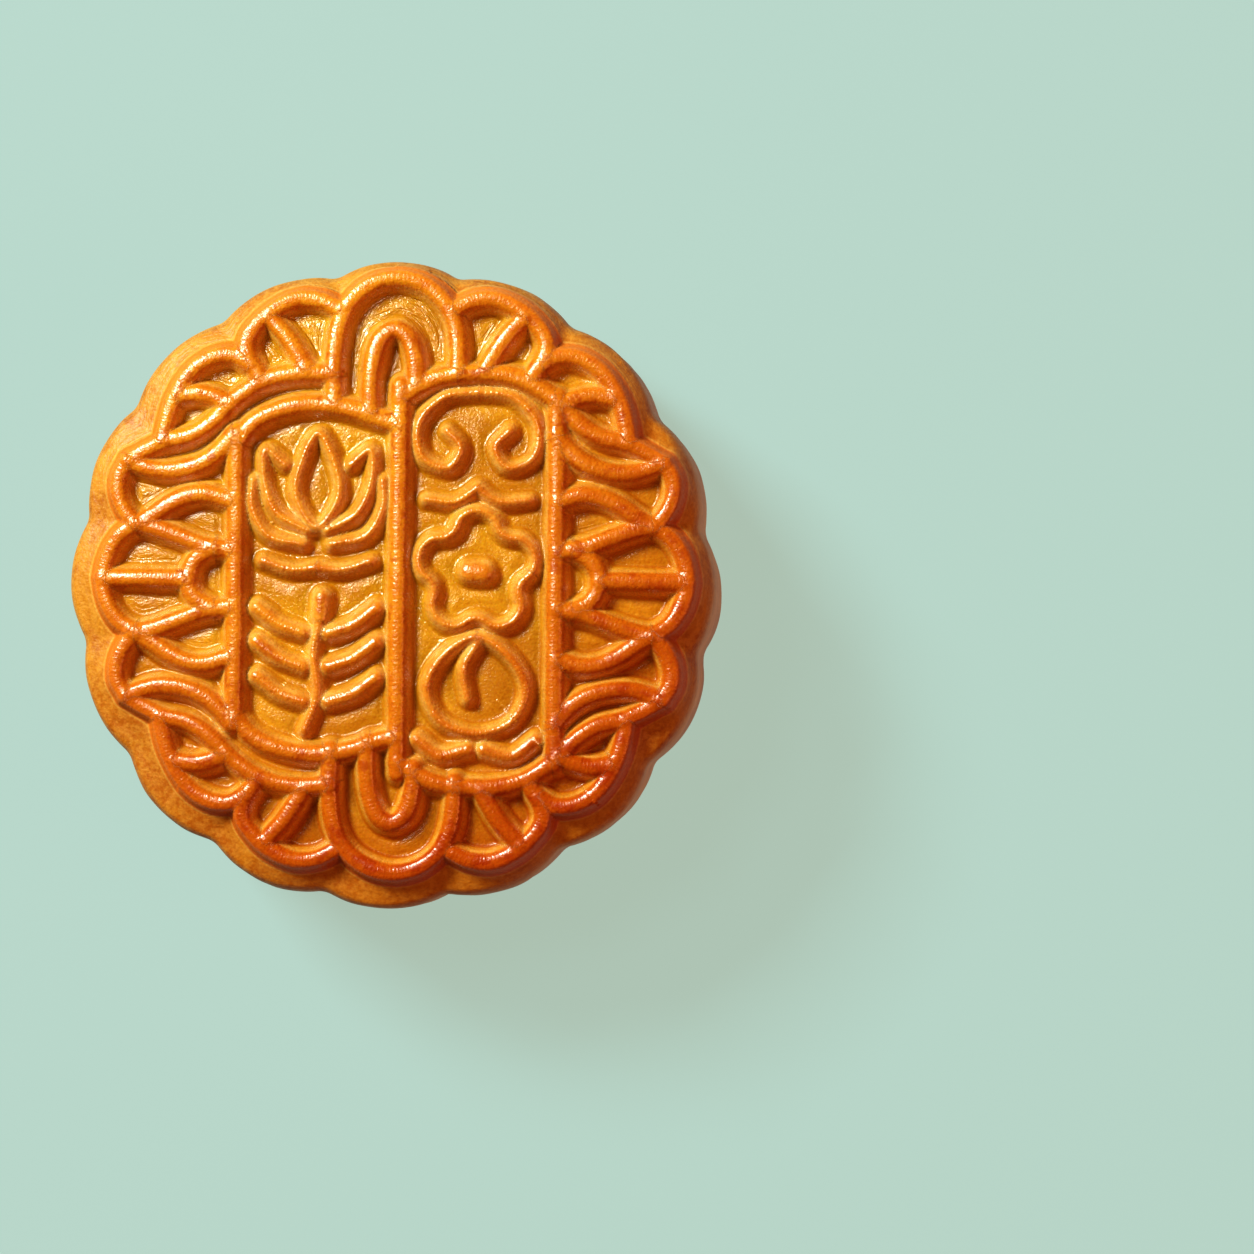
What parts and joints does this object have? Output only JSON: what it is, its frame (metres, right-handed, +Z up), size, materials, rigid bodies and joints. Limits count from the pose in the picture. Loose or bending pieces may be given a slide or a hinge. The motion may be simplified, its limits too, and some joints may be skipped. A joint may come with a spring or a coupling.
{
  "type": "mooncake",
  "caption": "Whole round baked mooncake with a scalloped wall and a glazed top pressed with a petal wreath, two framed panels and flower ornaments.",
  "frame": {"origin": "middle of the flat underside, on the ground", "axes": "+Z up out of the pressed face, +Y towards the top of the pattern, +X to its right"},
  "size_m": [0.0786, 0.0786, 0.0336],
  "materials": {
    "crust": "baked pastry, egg-glazed and semi-gloss on top, duller on the wall"
  },
  "bodies": {
    "root": {"mooncake": "crust"}
  },
  "joints": []
}
